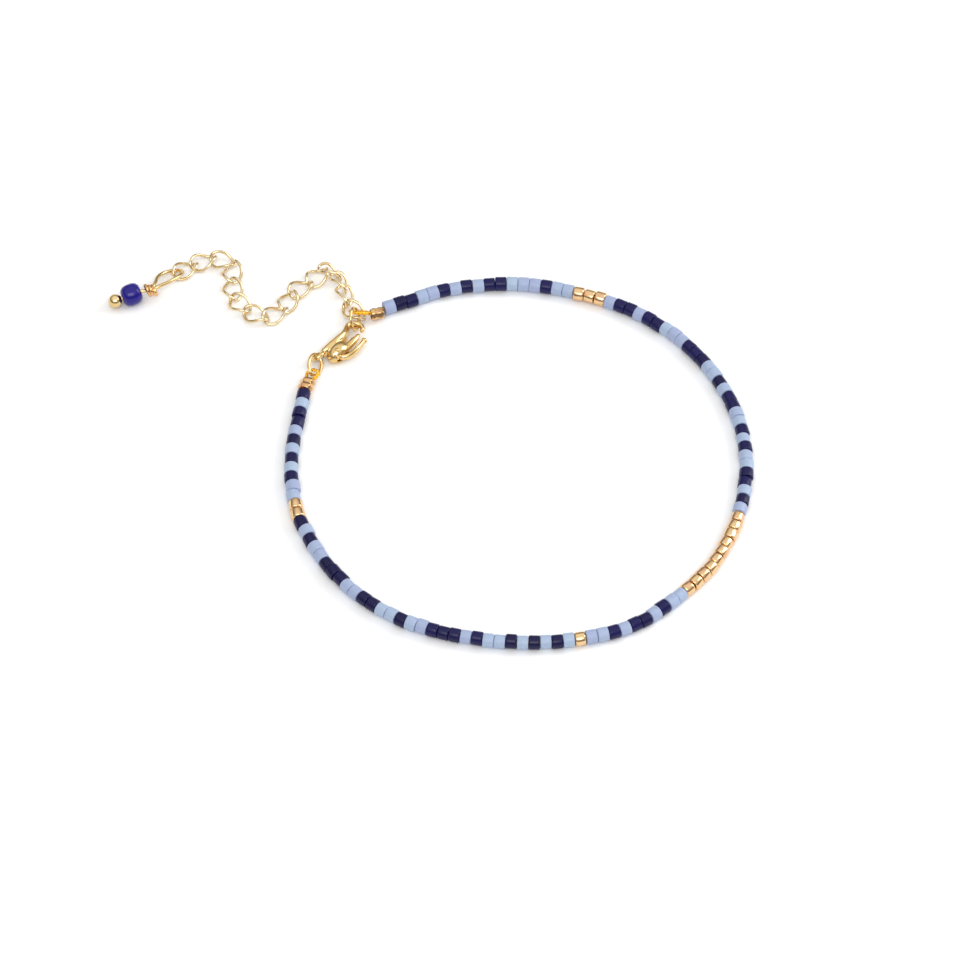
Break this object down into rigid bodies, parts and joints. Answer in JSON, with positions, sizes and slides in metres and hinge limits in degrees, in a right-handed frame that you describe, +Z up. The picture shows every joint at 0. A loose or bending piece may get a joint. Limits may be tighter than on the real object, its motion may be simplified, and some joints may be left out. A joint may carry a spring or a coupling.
{
  "type": "beaded bracelet with extender chain",
  "caption": "Slim bracelet of short round glass beads in two blues with gold beads on a thread, closed by a lobster clasp, with an extender chain and a bead drop.",
  "frame": {"origin": "middle of the bracelet's box, on the surface that it lies on", "axes": "+Z up; the loop of beads lies flat in X and Y; the clasp and the chain are at the back left, towards -X and +Y"},
  "size_m": [0.0749, 0.0589, 0.0028],
  "materials": {
    "seed_beads": "glossy opaque glass seed beads, navy and pale blue, on a golden thread",
    "bead_gold": "polished gold plating",
    "copper_gold": "reddish gold plating, worn bright on the pressed facets",
    "ring_gold": "polished gold plating",
    "chain_gold": "polished pale gold plating",
    "clasp_gold": "polished gold plating on a cast clasp",
    "pin_gold": "polished gold wire",
    "cobalt_glass": "glossy dense cobalt glass"
  },
  "bodies": {
    "bracelet": {"bead_string": "seed_beads", "gold_bead_01": "bead_gold", "gold_bead_02": "bead_gold", "gold_bead_03": "bead_gold", "gold_bead_04": "bead_gold", "gold_bead_05": "bead_gold", "gold_bead_06": "bead_gold", "gold_bead_07": "bead_gold", "gold_bead_08": "bead_gold", "gold_bead_09": "bead_gold", "gold_bead_10": "bead_gold", "gold_bead_11": "bead_gold", "gold_bead_12": "bead_gold", "gold_bead_13": "bead_gold", "gold_bead_14": "bead_gold", "gold_bead_15": "bead_gold", "gold_bead_16": "bead_gold", "crimp_left": "copper_gold", "crimp_right": "copper_gold", "jump_ring": "ring_gold", "end_ring": "ring_gold", "chain_link_01": "chain_gold", "chain_link_02": "chain_gold", "chain_link_03": "chain_gold", "chain_link_04": "chain_gold", "chain_link_05": "chain_gold", "chain_link_06": "chain_gold", "chain_link_07": "chain_gold", "chain_link_08": "chain_gold", "chain_link_09": "chain_gold", "chain_link_10": "chain_gold", "chain_link_11": "chain_gold", "chain_link_12": "chain_gold", "chain_link_13": "chain_gold", "chain_link_14": "chain_gold", "chain_link_15": "chain_gold", "clasp_body": "clasp_gold", "head_pin": "pin_gold", "end_bead": "cobalt_glass"},
    "lever": {"clasp_lever": "clasp_gold"}
  },
  "joints": [
    {"name": "clasp_lever_hinge", "type": "hinge", "parent": "bracelet", "child": "lever", "pos_m": [-0.01045, 0.01296, 0.001], "axis": [0, 0, 1], "range_deg": [0, 8], "stiffness_Nm_per_rad": 0.002, "springref_deg": -20.05}
  ]
}
